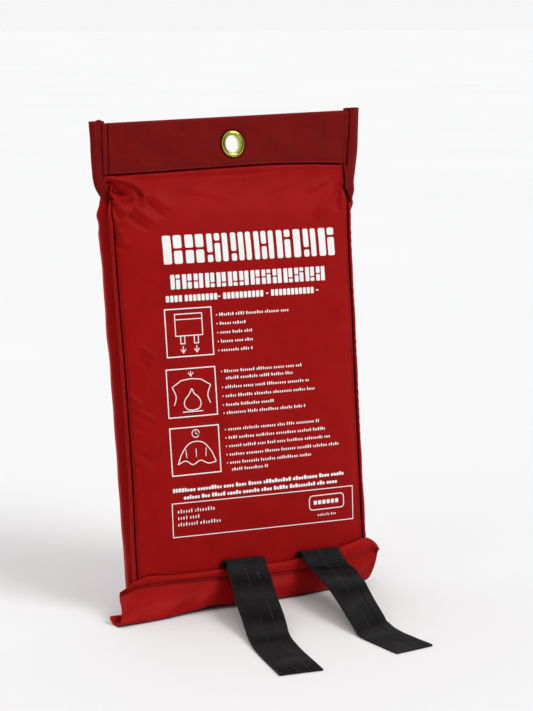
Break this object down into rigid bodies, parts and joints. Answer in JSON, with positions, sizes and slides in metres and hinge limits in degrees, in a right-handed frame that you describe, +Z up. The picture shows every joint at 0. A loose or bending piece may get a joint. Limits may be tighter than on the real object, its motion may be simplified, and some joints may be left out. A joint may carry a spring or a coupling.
{
  "type": "fire blanket",
  "caption": "Folded fire blanket in a soft hanging pouch with a header eyelet, a bottom flap and webbing pull tabs.",
  "frame": {"origin": "on the floor, in the middle of the base that the pouch stands on", "axes": "+Z up, the front face toward -Y and leaning back 8.4 degrees, +X to the right as seen from the front"},
  "size_m": [0.2458, 0.2586, 0.4035],
  "materials": {
    "red_cloth": "satin coated cloth",
    "maroon_cloth": "satin coated cloth, darker",
    "red_thread": "matte thread",
    "black_webbing": "matte ribbed webbing",
    "black_tape": "matte hook and loop tape",
    "glass_cloth": "matte woven glass cloth",
    "brass": "polished"
  },
  "bodies": {
    "pouch": {"front_panel": "red_cloth", "back_panel": "red_cloth", "left_gusset": "red_cloth", "right_gusset": "red_cloth", "left_piping": "red_cloth", "right_piping": "red_cloth", "header_band": "maroon_cloth", "left_header_strip": "maroon_cloth", "right_header_strip": "maroon_cloth", "eyelet": "brass", "eyelet_washer": "brass", "header_stitching": "red_thread", "hook_tape": "black_tape"},
    "flap": {"bottom_flap": "red_cloth", "flap_hem": "red_cloth", "flap_stitching": "red_thread", "loop_tape": "black_tape"},
    "blanket": {"folded_blanket": "glass_cloth", "left_strap_riser": "black_webbing", "right_strap_riser": "black_webbing", "left_anchor_stitching": "black_tape", "right_anchor_stitching": "black_tape"},
    "left_tab": {"left_pull_tab": "black_webbing"},
    "right_tab": {"right_pull_tab": "black_webbing"}
  },
  "joints": [
    {"name": "blanket_pull", "type": "slide", "parent": "pouch", "child": "blanket", "axis": [0, -0.1461, -0.9893], "range_m": [0, 0.31], "deforming": ["bottom_flap", "flap_hem", "flap_stitching", "loop_tape"]},
    {"name": "flap_open", "type": "hinge", "parent": "pouch", "child": "flap", "pos_m": [0, 0.05076, 0.00703], "axis": [1, 0, 0], "range_deg": [0, 120]},
    {"name": "left_tab_swing", "type": "hinge", "parent": "blanket", "child": "left_tab", "pos_m": [-0.0125, -0.01562, 0.04079], "axis": [-1, 0, 0], "range_deg": [0, 75]},
    {"name": "right_tab_swing", "type": "hinge", "parent": "blanket", "child": "right_tab", "pos_m": [0.0574, -0.01562, 0.04079], "axis": [-1, 0, 0], "range_deg": [0, 75]}
  ],
  "couplings": [
    {"joint": "flap_open", "follows": "blanket_pull", "rad_per_m": 6.7}
  ]
}
